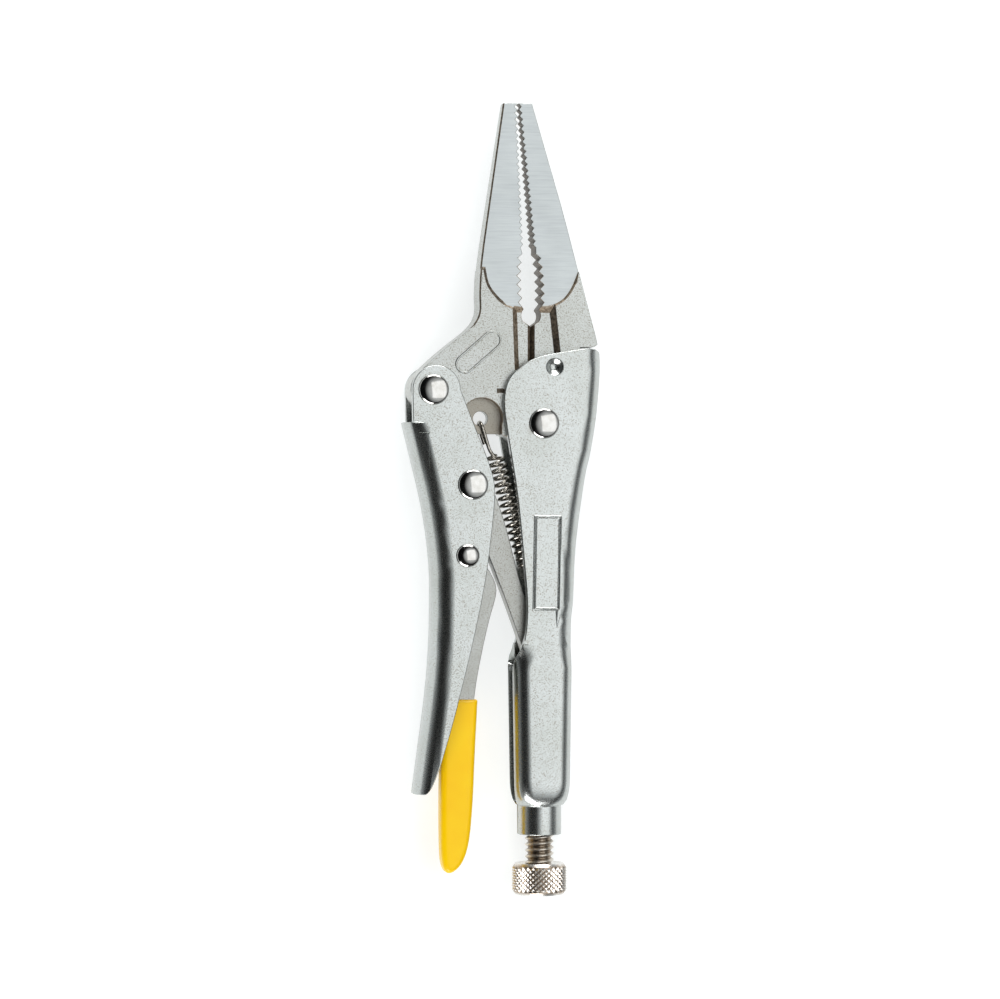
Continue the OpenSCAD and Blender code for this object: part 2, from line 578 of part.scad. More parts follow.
// The wire's path: up from the coils, through the web's hole, and back down behind it
coil_path = [for (k = [0 : coil_turns * ring_steps]) let (a = 360 * k / ring_steps + 90,
    c = mix(coil_top, coil_end, k / (coil_turns * ring_steps)))
    lift(c + coil_r * cos(a) * coil_side, coil_r * sin(a))];
upper_hook = [lift(spring_hole + [0.9, -4.8], -hook_z), lift(spring_hole + [0.35, -2.6], -hook_z),
    lift(spring_hole + [0.1, -1.5], -hook_z), lift(spring_hole + [0.05, -0.9], -hook_z + 0.6),
    lift(spring_hole + [0.05, -0.85], hook_z - 0.6), lift(spring_hole + [0.3, -1.5], hook_z),
    lift(spring_hole + [1.3, -5], hook_z), lift(spring_hole + [1.9, -6.6], hook_z)];
tongue_side = tongue_w / 2 + wire_r + 0.25;
tongue_under = -tongue_t / 2 - wire_r - 0.2;
lower_hook = [lift(coil_end + [1.0, -1.2], coil_r + 0.1), lift(tongue_at + [-0.2, 1.6], tongue_side),
    lift(tongue_at + [0, -0.4], tongue_side), lift(tongue_at + [0, tongue_under], tongue_side - 0.65),
    lift(tongue_at + [0, tongue_under], 0.65 - tongue_side), lift(tongue_at + [0, 0.6], -tongue_side)];
wire_path = concat(upper_hook, coil_path, lower_hook);
wire_last = len(wire_path) - 1;
// A ring of points round the wire at k, square to its path
function ring_at_wire(k) = let (
    d = unit(wire_path[min(k + 1, wire_last)] - wire_path[max(k - 1, 0)]),
    side = unit(cross(d, abs(d[2]) > 0.9 ? [1, 0, 0] : [0, 0, 1])), up = cross(side, d))
    [for (i = [0 : wire_sides - 1]) wire_path[k]
        + wire_r * (cos(360 * i / wire_sides) * side + sin(360 * i / wire_sides) * up)];
module return_spring() color("dimgray") placed() {
    n = wire_sides;
    points = [for (k = [0 : wire_last]) each ring_at_wire(k)];
    sides = [for (k = [0 : wire_last - 1], i = [0 : n - 1]) each [
        [k * n + i, k * n + (i + 1) % n, (k + 1) * n + (i + 1) % n],
        [k * n + i, (k + 1) * n + (i + 1) % n, (k + 1) * n + i]]];
    ends = concat([for (i = [1 : n - 2]) [0, i + 1, i]],
        [for (i = [1 : n - 2]) [wire_last * n, wire_last * n + i, wire_last * n + i + 1]]);
    polyhedron(points, concat(sides, ends), convexity = 10);
}

// ---- Adjusting screw and knob ----

screw_tip = link_foot[1] - link_foot_r - toggle_gap;
screw_r = screw_d / 2;
thread_depth = screw_pitch * 0.5;
neck_r = screw_r - thread_depth;
spigot_r = neck_r - 0.3;             // end of the screw that holds the knob
spigot_len = 4;
thread_len = knob_top + screw_tip - 1;
thread_turns = floor(thread_len / screw_pitch);
// Half section of the screw, as [radius, distance from its tip]
screw_section = concat([[0, 0], [neck_r - 0.4, 0]],
    [for (k = [0 : thread_turns - 1]) let (y = 0.5 + k * screw_pitch) each [
        [neck_r, y], [screw_r, y + screw_pitch * 0.42], [screw_r, y + screw_pitch * 0.58]]],
    [[neck_r, 0.5 + thread_turns * screw_pitch], [neck_r, knob_top + screw_tip],
    [spigot_r, knob_top + screw_tip], [spigot_r, knob_top + screw_tip + spigot_len],
    [0, knob_top + screw_tip + spigot_len]]);
module adjusting_screw() color("tan") placed() translate([0, screw_tip, 0]) rotate([90, 0, 0])
    rotate_extrude($fn = round_fn) polygon(screw_section);

knob_r = knob_d / 2;
knob_edge = 0.7;
module adjusting_knob() color("silver") placed() translate([0, -knob_top - 0.05, 0]) rotate([90, 0, 0])
    rotate_extrude($fn = round_fn) polygon([[spigot_r + pin_clear, 0], [knob_r - knob_edge, 0],
        [knob_r, knob_edge], [knob_r, knob_len - 0.05 - knob_edge], [knob_r - knob_edge, knob_len - 0.05],
        [0, knob_len - 0.05], [0, spigot_len + 0.1], [spigot_r + pin_clear, spigot_len + 0.1]]);

// ---- Rivets ----

module main_rivet() color("white") placed() rivet([0, 0], rivet_d, rivet_head_d, wall_out);
module lever_rivet() color("white") placed() rivet(lever_pin, rivet_d, rivet_head_d, wall_out);
module link_rivet() color("white") placed() rivet(link_pin, rivet_d, rivet_head_d, wall_out);
module release_rivet() color("white") placed()
    rivet(release_pin, small_rivet_d, small_rivet_head_d, wall_out);

fixed_handle();
fixed_jaw();
movable_jaw();
main_rivet();
lever_handle();
lever_rivet();
toggle_link();
link_rivet();
release_lever();
release_grip();
release_rivet();
return_spring();
adjusting_screw();
adjusting_knob();
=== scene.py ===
# %% [markdown]
# # Long-nose locking pliers
#
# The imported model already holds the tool's sizes, its pivots and the way it moves. This lesson
# builds what the eye sees round that model: softened sheet edges, a real helical thread, a
# knurled knob, a wound spring, a dipped vinyl grip, and a finish for each metal. Every length
# below is in millimetres, and MM turns it into Blender's metres.

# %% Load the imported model
import json
import math

import bmesh
import bpy
from mathutils import Matrix, Vector


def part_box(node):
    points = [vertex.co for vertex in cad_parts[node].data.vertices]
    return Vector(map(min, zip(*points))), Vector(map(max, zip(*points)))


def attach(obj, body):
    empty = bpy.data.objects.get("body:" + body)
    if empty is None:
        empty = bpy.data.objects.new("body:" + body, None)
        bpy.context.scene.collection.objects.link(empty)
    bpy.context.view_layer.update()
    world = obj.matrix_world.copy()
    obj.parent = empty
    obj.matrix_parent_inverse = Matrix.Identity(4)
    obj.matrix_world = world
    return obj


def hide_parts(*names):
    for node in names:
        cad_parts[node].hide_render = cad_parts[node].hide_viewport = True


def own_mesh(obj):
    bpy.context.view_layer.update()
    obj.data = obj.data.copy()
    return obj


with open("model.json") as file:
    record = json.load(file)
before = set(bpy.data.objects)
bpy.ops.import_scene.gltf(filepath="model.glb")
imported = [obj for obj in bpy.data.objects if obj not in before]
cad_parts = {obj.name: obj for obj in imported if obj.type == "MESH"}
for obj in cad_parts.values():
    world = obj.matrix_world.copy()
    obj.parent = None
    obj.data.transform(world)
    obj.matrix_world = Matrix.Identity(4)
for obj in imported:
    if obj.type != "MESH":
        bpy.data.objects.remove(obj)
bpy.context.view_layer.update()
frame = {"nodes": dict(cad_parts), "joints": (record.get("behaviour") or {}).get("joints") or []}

MM = 0.001
print("nodes:", sorted(frame["nodes"]))

# %% [markdown]
# The tool lies flat with its rivets upright. All of its outlines are thought of from the main
# pivot, so one function turns a distance from that pivot into a place in the model.

# %% Places, measured from the main pivot
hinges = {j["name"]: Vector(j["pos_m"]) for j in frame["joints"] if "pos_m" in j}
main_pivot = hinges["jaw_pivot"]


def place(x, y, z=0.0):
    """A point given in millimetres from the main pivot, on the tool's middle plane."""
    return main_pivot + Vector((x, y, z)) * MM


print("main pivot at", [round(c / MM, 2) for c in main_pivot], "mm")

# %% [markdown]
# Each material below is a small node tree. One function makes a named tree with its shader, one
# turns a hex colour as seen on a screen into the linear colour that the renderer works in, and
# one adds a node with its settings and its links. A pattern's scale is one over the size of its
# grain, so scale_for takes that size in millimetres. Every pattern reads Object coordinates,
# which stay with the piece when it moves.

# %% Helpers for materials
def linear(hex_colour):
    """An sRGB hex value such as #D2D6D5 as a linear RGBA colour."""
    channels = [int(hex_colour[i:i + 2], 16) / 255 for i in (1, 3, 5)]
    return [c / 12.92 if c <= 0.04045 else ((c + 0.055) / 1.055) ** 2.4 for c in channels] + [1.0]


def scale_for(size_mm):
    return 1 / (size_mm * MM)


def add(tree, kind, inputs=None, **settings):
    """Adds a node. inputs maps a socket's name or number to a value, or to the socket to link."""
    node = tree.nodes.new(kind)
    for setting, value in settings.items():
        setattr(node, setting, value)
    for socket, value in (inputs or {}).items():
        if isinstance(value, bpy.types.NodeSocket):
            tree.links.new(value, node.inputs[socket])
        else:
            node.inputs[socket].default_value = value
    return node


def shader_for(name, constants):
    """A new material, with the constants set on its shader's own sockets."""
    material = bpy.data.materials.new(name)
    material.use_nodes = True
    shader = material.node_tree.nodes["Principled BSDF"]
    for socket, value in constants.items():
        shader.inputs[socket].default_value = value
    return material, material.node_tree, shader


def stops(node, *pairs):
    """Sets a colour ramp's stops from (position, hex) pairs, or from (position, number) pairs."""
    ramp = node.color_ramp
    while len(ramp.elements) < len(pairs):
        ramp.elements.new(0.5)
    for element, (position, value) in zip(ramp.elements, pairs):
        element.position = position
        element.color = linear(value) if isinstance(value, str) else [value] * 3 + [1.0]
    return node


print("material helpers ready")

# %% [markdown]
# ## Satin nickel plating on sheet steel
#
# The two handles are pressed from cold-rolled sheet, barrel-finished and nickel plated. The
# tumbling leaves a fine orange peel, which sparkles where the metal curves away from the light,
# and tiny pits that hold a warm grey stain. A bump of about a quarter of a millimetre gives the
# sparkle, a ramp on a finer noise gives the pits, and a slow noise makes the plating uneven.

# %% Satin nickel plating
def nickel(name, light, stain, grain_mm, pits, roughness, relief_mm):
    """Plated steel. light is two hex colours of the plating, stain is that of the pits, and pits
    is the noise's level below which a pit lies."""
    material, tree, shader = shader_for(name, {"Metallic": 1.0})
    where = add(tree, "ShaderNodeTexCoord").outputs["Object"]
    grain = add(tree, "ShaderNodeTexNoise", {"Vector": where, "Scale": scale_for(grain_mm), "Detail": 2.0})
    cloud = add(tree, "ShaderNodeTexNoise", {"Vector": where, "Scale": scale_for(9.0), "Detail": 3.0})
    pit = stops(add(tree, "ShaderNodeValToRGB", {"Fac": grain.outputs["Fac"]}),
                (pits, 0.0), (pits + 0.16, 1.0))
    plate = stops(add(tree, "ShaderNodeValToRGB", {"Fac": cloud.outputs["Fac"]}),
                  (0.3, light[0]), (0.7, light[1]))
    colour = add(tree, "ShaderNodeMix", {"Factor": pit.outputs["Color"], 6: linear(stain),
                                         7: plate.outputs["Color"]}, data_type="RGBA")
    tree.links.new(colour.outputs[2], shader.inputs["Base Color"])
    rough = add(tree, "ShaderNodeMapRange", {"Value": grain.outputs["Fac"],
                                             "From Min": 0.3, "From Max": 0.7,
                                             "To Min": roughness + 0.1, "To Max": roughness - 0.04})
    tree.links.new(rough.outputs["Result"], shader.inputs["Roughness"])
    relief = add(tree, "ShaderNodeBump", {"Height": grain.outputs["Fac"], "Strength": 0.5,
                                          "Distance": relief_mm * MM})
    tree.links.new(relief.outputs["Normal"], shader.inputs["Normal"])
    return material


satin_nickel = nickel("satin_nickel_plated_sheet", ("#C5C9C8", "#BBBFBC"), "#979085",
                      grain_mm=0.2, pits=0.3, roughness=0.22, relief_mm=0.025)
print("made", satin_nickel.name)

# %% [markdown]
# ## Blasted forging
#
# The jaws are drop-forged chrome vanadium steel. Behind the ground cheeks the skin is shot
# blasted before plating, so it is duller and coarser than the sheet. The toggle link and the
# release lever are punched from plate and plated the same way, with a finer grain. The recess
# round the spring's web is given a darker, warmer colour as painted shade.

# %% Blasted forging and punched plate
blasted_forging = nickel("blasted_nickel_plated_forging", ("#C9CCCA", "#BEC1BD"), "#8E8678",
                         grain_mm=0.24, pits=0.32, roughness=0.32, relief_mm=0.045)
punched_plate = nickel("nickel_plated_punched_steel", ("#BBBDBA", "#AEAFAA"), "#857D71",
                       grain_mm=0.22, pits=0.32, roughness=0.32, relief_mm=0.035)
# painted shade: the recess round the spring's web is coloured darker and warmer than the forging
recess_painted_shade = nickel("forging_recess_painted_shade", ("#B7B4AB", "#A8A398"), "#857B6D",
                  grain_mm=0.2, pits=0.3, roughness=0.4, relief_mm=0.04)
print("made", blasted_forging.name, punched_plate.name, recess_painted_shade.name)

# %% [markdown]
# ## Ground steel
#
# The cheeks of both jaws are surface ground after forging. The wheel leaves fine scratches that
# run nearly across the jaw. Stretching a noise along the scratches' direction draws them: the
# mapping turns the pattern a few degrees and stretches it twenty times. Real scratches are some
# hundredths of a millimetre wide, too fine to show, so these are drawn some tenths wide.

# %% Ground cheeks
def ground_steel():
    material, tree, shader = shader_for("surface_ground_steel", {"Metallic": 1.0})
    where = add(tree, "ShaderNodeTexCoord").outputs["Object"]
    turned = add(tree, "ShaderNodeMapping", {"Vector": where, "Rotation": (0.0, 0.0, math.radians(-6)),
                                             "Scale": (0.05, 1.0, 1.0)})
    lines = add(tree, "ShaderNodeTexNoise", {"Vector": turned.outputs["Vector"], "Scale": scale_for(0.3),
                                             "Detail": 3.0})
    cloud = add(tree, "ShaderNodeTexNoise", {"Vector": where, "Scale": scale_for(7.0), "Detail": 2.0})
    colour = stops(add(tree, "ShaderNodeValToRGB", {"Fac": lines.outputs["Fac"]}),
                   (0.3, "#B7BCBD"), (0.5, "#BEC3C4"), (0.7, "#C3C8C8"))
    tree.links.new(colour.outputs["Color"], shader.inputs["Base Color"])
    rough = add(tree, "ShaderNodeMapRange", {"Value": cloud.outputs["Fac"], "To Min": 0.26, "To Max": 0.42})
    tree.links.new(rough.outputs["Result"], shader.inputs["Roughness"])
    relief = add(tree, "ShaderNodeBump", {"Height": lines.outputs["Fac"], "Strength": 0.3,
                                          "Distance": 0.008 * MM})
    tree.links.new(relief.outputs["Normal"], shader.inputs["Normal"])
    return material


ground_cheek = ground_steel()
print("made", ground_cheek.name)

# %% [markdown]
# ## Painted shade on steel
#
# The tooth flanks, the cutter's groove and the step where the grinding stops get a dark brown
# colour: painted shade of these walls and hollows. It is a half-matt skin over steel, so the
# material is only partly metallic, and a noise breaks it up.

# %% Painted shade on tooth flanks and steps
def painted_shade_steel(name, dark, light, metallic):
    material, tree, shader = shader_for(name, {"Metallic": metallic})
    where = add(tree, "ShaderNodeTexCoord").outputs["Object"]
    patch = add(tree, "ShaderNodeTexNoise", {"Vector": where, "Scale": scale_for(0.6), "Detail": 4.0})
    colour = stops(add(tree, "ShaderNodeValToRGB", {"Fac": patch.outputs["Fac"]}),
                   (0.35, dark), (0.65, light))
    tree.links.new(colour.outputs["Color"], shader.inputs["Base Color"])
    rough = add(tree, "ShaderNodeMapRange", {"Value": patch.outputs["Fac"], "To Min": 0.3, "To Max": 0.55})
    tree.links.new(rough.outputs["Result"], shader.inputs["Roughness"])
    relief = add(tree, "ShaderNodeBump", {"Height": patch.outputs["Fac"], "Strength": 0.3,
                                          "Distance": 0.03 * MM})
    tree.links.new(relief.outputs["Normal"], shader.inputs["Normal"])
    return material


# painted shade: dark brown on the tooth flanks, the cutter's groove, the notch and the worn edge, and on
# the steps
flank_painted_shade = painted_shade_steel("tooth_flank_painted_shade", "#4C443B", "#7D7264", 0.7)
step_painted_shade = painted_shade_steel("ground_step_painted_shade", "#6E5F4E", "#A79885", 0.6)
print("made", flank_painted_shade.name, step_painted_shade.name)

# %% [markdown]
# ## Polished nickel, music wire and the screw
#
# The rivet heads are polished after heading, so they mirror the room. The spring is cold-drawn
# music wire with a film of oil, dull and a little warm. The screw is rolled and plated in a
# warmer bath. Its grooves and the knob's are painted darker and browner as shade: a number
# stored on each point of the mesh tells the material how deep the surface lies there.

# %% Polished, drawn and rolled metals
def polished_nickel():
    material, tree, shader = shader_for("polished_nickel_rivet", {"Metallic": 1.0})
    where = add(tree, "ShaderNodeTexCoord").outputs["Object"]
    haze = add(tree, "ShaderNodeTexNoise", {"Vector": where, "Scale": scale_for(1.6), "Detail": 4.0})
    colour = stops(add(tree, "ShaderNodeValToRGB", {"Fac": haze.outputs["Fac"]}),
                   (0.3, "#C6C4BF"), (0.6, "#D6D5D2"))
    tree.links.new(colour.outputs["Color"], shader.inputs["Base Color"])
    rough = add(tree, "ShaderNodeMapRange", {"Value": haze.outputs["Fac"], "To Min": 0.05, "To Max": 0.16})
    tree.links.new(rough.outputs["Result"], shader.inputs["Roughness"])
    return material


def drawn_wire():
    material, tree, shader = shader_for("oiled_music_wire", {"Metallic": 1.0})
    where = add(tree, "ShaderNodeTexCoord").outputs["Object"]
    patch = add(tree, "ShaderNodeTexNoise", {"Vector": where, "Scale": scale_for(0.5), "Detail": 3.0})
    colour = stops(add(tree, "ShaderNodeValToRGB", {"Fac": patch.outputs["Fac"]}),
                   (0.35, "#9A958D"), (0.65, "#CBC6BD"))
    tree.links.new(colour.outputs["Color"], shader.inputs["Base Color"])
    rough = add(tree, "ShaderNodeMapRange", {"Value": patch.outputs["Fac"], "To Min": 0.16, "To Max": 0.34})
    tree.links.new(rough.outputs["Result"], shader.inputs["Roughness"])
    return material


def grooved_metal(name, crest, root):
    material, tree, shader = shader_for(name, {"Metallic": 1.0})
    where = add(tree, "ShaderNodeTexCoord").outputs["Object"]
    patch = add(tree, "ShaderNodeTexNoise", {"Vector": where, "Scale": scale_for(0.45), "Detail": 4.0})
    groove = add(tree, "ShaderNodeAttribute", attribute_name="groove")
    # painted shade: the deeper the point, the darker and browner its colour
    groove_shade_amount = add(tree, "ShaderNodeMath", {0: groove.outputs["Fac"], 1: patch.outputs["Fac"]},
               operation="MULTIPLY")
    colour = stops(add(tree, "ShaderNodeValToRGB", {"Fac": groove_shade_amount.outputs["Value"]}),
                   (0.06, crest), (0.5, root))
    tree.links.new(colour.outputs["Color"], shader.inputs["Base Color"])
    rough = add(tree, "ShaderNodeMapRange", {"Value": patch.outputs["Fac"], "To Min": 0.2, "To Max": 0.4})
    tree.links.new(rough.outputs["Result"], shader.inputs["Roughness"])
    relief = add(tree, "ShaderNodeBump", {"Height": patch.outputs["Fac"], "Strength": 0.25,
                                          "Distance": 0.03 * MM})
    tree.links.new(relief.outputs["Normal"], shader.inputs["Normal"])
    return material


rivet_nickel = polished_nickel()
spring_steel = drawn_wire()
thread_nickel = grooved_metal("rolled_thread_warm_nickel", "#D6CFC5", "#8C7D6C")
knurl_nickel = grooved_metal("knurled_knob_nickel", "#F2F1EE", "#AD9E8E")
print("made", rivet_nickel.name, spring_steel.name, thread_nickel.name, knurl_nickel.name)

# %% [markdown]
# ## Dipped vinyl
#
# The grip is plastisol: the warm lever is dipped in liquid vinyl, which gels as a thick glossy
# coat with a rounded end. Its yellow is even, with faint thick and thin places, and its shine is
# soft because the skin is never quite flat.

# %% Dipped vinyl
def dipped_vinyl():
    material, tree, shader = shader_for("dipped_yellow_vinyl", {"Roughness": 0.3, "IOR": 1.45,
                                                                "Specular IOR Level": 0.35})
    where = add(tree, "ShaderNodeTexCoord").outputs["Object"]
    thick = add(tree, "ShaderNodeTexNoise", {"Vector": where, "Scale": scale_for(6.0), "Detail": 2.0})
    skin = add(tree, "ShaderNodeTexNoise", {"Vector": where, "Scale": scale_for(0.9), "Detail": 2.0})
    colour = stops(add(tree, "ShaderNodeValToRGB", {"Fac": thick.outputs["Fac"]}),
                   (0.3, "#FDC800"), (0.7, "#FFD007"))
    tree.links.new(colour.outputs["Color"], shader.inputs["Base Color"])
    relief = add(tree, "ShaderNodeBump", {"Height": skin.outputs["Fac"], "Strength": 0.2,
                                          "Distance": 0.03 * MM})
    tree.links.new(relief.outputs["Normal"], shader.inputs["Normal"])
    return material


yellow_vinyl = dipped_vinyl()
print("made", yellow_vinyl.name)

# %% [markdown]
# ## From a bmesh to a piece
#
# Each piece is shaped in a bmesh and handed to one function, which makes the object, smooths its
# shading up to a given angle, and lets it ride on the body that carries the node it stands for.

# %% Finishing a piece
def finish_piece(bm, name, materials, node_names, body, smooth_deg=35.0):
    mesh = bpy.data.meshes.new(name)
    bm.to_mesh(mesh)
    bm.free()
    for material in materials:
        mesh.materials.append(material)
    mesh.shade_smooth()
    mesh.set_sharp_from_angle(angle=math.radians(smooth_deg))
    piece = bpy.data.objects.new(name, mesh)
    bpy.context.scene.collection.objects.link(piece)
    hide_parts(*node_names)
    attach(piece, body)
    print(name, "has", len(mesh.polygons), "faces and rides on", body)
    return piece


def even_normals(piece):
    """Flat faces keep their own direction, so that only the rounded edges shade as round."""
    modifier = piece.modifiers.new("even_normals", "WEIGHTED_NORMAL")
    modifier.keep_sharp = True
    return piece


# %% [markdown]
# ## Softened edges
#
# A pressed or forged edge is never a perfect corner: it catches a thin line of light. The packed
# node already has the true outline, so a copy of its mesh is merged, its flat triangles are
# dissolved into whole faces, and the sharp edges are bevelled. The copy stands for the node.
#
# Bevel has a guard, clamp_overlap, that narrows every bevel of a mesh to suit its shortest edge.
# One tiny edge would make them all vanish, so the guard is off, and edges too short to be
# bevelled are merged first.

# %% A softened copy of a node
MERGE_MM = 0.004        # points nearer than this are one point
SHORT_MM = 0.03         # an edge shorter than this is merged before bevelling
FLAT_DEG = 0.5          # triangles that meet flatter than this are one face


def sharp_edges(bm, sharp_deg):
    limit = math.radians(sharp_deg)
    return [e for e in bm.edges if len(e.link_faces) == 2 and e.calc_face_angle(0) > limit]


def rounded(bm, edges, edge_mm):
    bmesh.ops.bevel(bm, geom=edges, offset=edge_mm * MM, offset_type="OFFSET", affect="EDGES", segments=2,
                    profile=0.5, material=-1, clamp_overlap=False)
    bm.normal_update()


def softened(node_name, edge_mm, sharp_deg, worn=None, worn_mm=0.0):
    """A bmesh with the node's shape, whose edges sharper than sharp_deg are bevelled. The edges
    that worn picks are bevelled first and wider."""
    bm = bmesh.new()
    bm.from_mesh(frame["nodes"][node_name].data)
    bmesh.ops.remove_doubles(bm, verts=bm.verts, dist=SHORT_MM * MM)
    bmesh.ops.dissolve_limit(bm, angle_limit=math.radians(FLAT_DEG), verts=bm.verts, edges=bm.edges)
    if worn:
        picked = [e for e in sharp_edges(bm, sharp_deg) if worn((e.verts[0].co + e.verts[1].co) / 2)]
        rounded(bm, picked, worn_mm)
    rounded(bm, sharp_edges(bm, sharp_deg), edge_mm)
    return bm


print("softening ready")

# %% [markdown]
# ## The two handles
#
# The fixed handle is one sheet, folded along its back and curled into a tube at the bottom,
# where the adjusting screw runs. The lever handle is a shorter channel whose ears straddle the
# movable jaw.

# %% Handles
SHEET_EDGE_MM = 0.22    # width of the round on a pressed edge

even_normals(finish_piece(softened("fixed_handle", SHEET_EDGE_MM, 38), "handle_shell", [satin_nickel],
                          ["fixed_handle"], "handle_frame"))
even_normals(finish_piece(softened("lever_handle", SHEET_EDGE_MM, 38), "lever_shell", [satin_nickel],
                          ["lever_handle"], "lever"))

# %% [markdown]
# ## The jaws
#
# One forging carries five finishes: the blasted skin, the ground cheeks, and three colours of
# painted shade: dark brown on the broached tooth flanks, dark brown on the steps, and a darker
# skin in the recess round the spring's web. The direction and place of each face tell them
# apart, so the material is chosen face by face: a cheek leans towards the tip, a tooth flank
# stands upright and faces the mouth, and a step stands upright where the grinding stops.
#
# Grinding and handling wear the cheek's step and its outer edge more than the rest. Those edges
# are picked by their place and get a wider bevel, which carries the dark brown of painted shade.

# %% Jaws
FORGED, GROUND, FLANK, STEP, WEB = range(5)
JAW_FINISHES = [blasted_forging, ground_cheek, flank_painted_shade, step_painted_shade, recess_painted_shade]
MOUTH_X = (-6.2, 2.2)       # across the teeth and the throat
MOUTH_Y = 20.0              # lower end of the throat
JAW_EDGE_MM = 0.12          # width of the round on a forged edge
CUTTER_X = (-6.8, 4.6)      # across the wire cutter's recess
STEP_Y = 34.0               # the grinding step lies below this
WORN_MM = 0.34              # width of the worn edge beside the ground cheek, whose bevel is painted dark as shade
FORGED_Z = (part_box("fixed_jaw")[1].z - main_pivot.z) / MM      # forged skin above the middle
NOTCH_SHADOW = ((-9.8, -7.9), (6.1, 7.4))      # small notch on the movable jaw, painted dark as shadow


def beside_cheek(x, y, z):
    """Whether a point lies on the left outer edge of the movable nose, beside the ground cheek."""
    return x < -7 and y > 19.5 and x < -6.6 - max(0.0, 56 - y) * 0.05 and abs(z) > 1.2


def worn_edge(x, y, z):
    """Whether a point lies on an edge that the grinding and the handling have worn; its bevel is painted
    dark as shade.
    """
    on_step = 23.4 < y < 30.5 and abs(abs(z) - FORGED_Z) < 0.05 and -12.2 < x < 7.0
    return on_step or beside_cheek(x, y, z)


def jaw_finish(face, inward):
    """The finish of a face. inward is 1 if the jaw's teeth face to the right and -1 if to the left."""
    x, y, z = (face.calc_center_median() - main_pivot) / MM
    tilt = abs(face.normal.z)
    if 0.9985 < tilt < 0.99999 and y > MOUTH_Y and face.normal.y > 0.02:
        return GROUND
    if tilt < 0.25 and y > MOUTH_Y and MOUTH_X[0] < x < MOUTH_X[1] and face.normal.x * inward > 0.1:
        return FLANK
    if tilt < 0.95 and CUTTER_X[0] < x < CUTTER_X[1] and 5 < y < 25:
        return FLANK if face.normal.x < -0.3 else STEP
    if 0.25 < tilt < 0.97 and beside_cheek(x, y, z):
        return FLANK
    if 0.25 < tilt < 0.97 and 23 < y < STEP_Y and abs(z) > 2.4 and x < 7.6:
        return STEP
    # the small notch is painted dark as shadow
    if NOTCH_SHADOW[0][0] < x < NOTCH_SHADOW[0][1] and NOTCH_SHADOW[1][0] < y < NOTCH_SHADOW[1][1] and abs(z) < FORGED_Z - 0.05:
        return FLANK
    if tilt < 0.25 and 23 < y < STEP_Y and abs(z) > 2.6 and -12.2 < x < 8.0 - (y - 28) * 0.25:
        return STEP
    # faces in the recess round the spring's web take the painted shade
    if abs(z) < 1.7 and tilt > 0.9 and y < 8:
        return WEB
    if tilt < 0.97 and abs(z) > 1.4 and -18 < x < -7.6 and -4 < y < 6.0 and z * face.normal.z >= 0:
        return STEP
    return FORGED


def jaw(node_name, name, body, inward):
    bm = softened(node_name, JAW_EDGE_MM, 40, lambda co: worn_edge(*((co - main_pivot) / MM)), WORN_MM)
    for face in bm.faces:
        face.material_index = jaw_finish(face, inward)
    return even_normals(finish_piece(bm, name, JAW_FINISHES, [node_name], body, 30.0))


jaw("fixed_jaw", "fixed_nose", "handle_frame", -1)
jaw("movable_jaw", "movable_nose", "jaw", 1)

# %% [markdown]
# ## Link and release lever
#
# Both are punched from plate, so their faces are flat and their edges carry the small burr-side
# round that tumbling leaves.

# %% Link and release lever
PLATE_EDGE_MM = 0.18    # width of the round on a tumbled plate's edge

even_normals(finish_piece(softened("toggle_link", PLATE_EDGE_MM, 40), "link_bar", [punched_plate],
                          ["toggle_link"], "link"))
even_normals(finish_piece(softened("release_lever", PLATE_EDGE_MM, 40), "release_bar", [punched_plate],
                          ["release_lever"], "release"))

# %% [markdown]
# ## Vinyl grip
#
# Liquid vinyl rounds every corner as it gels. A copy of the grip's solid is remeshed into small
# even quads and then relaxed with smooth_vert, which pulls the corners in the same way. The
# relaxing happens in the mesh itself, so that the finished piece needs no modifier.

# %% Vinyl grip
def relaxed(node_name, voxel_mm, passes):
    mesh = frame["nodes"][node_name].data.copy()
    bm = bmesh.new()
    bm.from_mesh(mesh)
    bmesh.ops.remove_doubles(bm, verts=bm.verts, dist=MERGE_MM * MM)
    bm.to_mesh(mesh)
    bm.free()
    work = bpy.data.objects.new("work", mesh)
    bpy.context.scene.collection.objects.link(work)
    remesh = work.modifiers.new("voxels", "REMESH")
    remesh.mode = "VOXEL"
    remesh.voxel_size = voxel_mm * MM
    depsgraph = bpy.context.evaluated_depsgraph_get()
    bm = bmesh.new()
    bm.from_object(work, depsgraph)
    bpy.data.objects.remove(work)
    for _ in range(passes):
        bmesh.ops.smooth_vert(bm, verts=bm.verts, factor=0.5,
                              use_axis_x=True, use_axis_y=True, use_axis_z=True)
    return bm


finish_piece(relaxed("release_grip", 0.3, 6), "grip_sleeve", [yellow_vinyl], ["release_grip"], "release",
             180.0)

# %% [markdown]
# ## Rivets
#
# A rivet's head is formed by a cup-shaped punch: a dome with a short upright rim. Half of the
# section is drawn as a chain of points and spun once round the rivet's axis.

# %% Rivets
HEAD_H = 1.3            # height of a head over the handle's wall
DOME_H = 0.52           # height of the dome's part of it
DOME_SHARE = 0.88       # share of the head's radius under the dome
SHANK = 0.74            # shank's radius as a share of the head's


def head_section(radius, top):
    """(radius, height) points from the dome's middle out and down to the shank, in mm."""
    reach = radius * DOME_SHARE
    ball = (reach ** 2 + DOME_H ** 2) / (2 * DOME_H)
    dome = [(reach * k / 12, top - ball + math.sqrt(ball ** 2 - (reach * k / 12) ** 2)) for k in range(13)]
    fall = HEAD_H - DOME_H
    rim = [(reach + (radius - reach) * math.sin(math.radians(15 * k)),
            top - DOME_H - fall * (1 - math.cos(math.radians(15 * k)))) for k in range(2, 7)]
    rim += [(radius * SHANK, top - HEAD_H)]
    return dome + rim


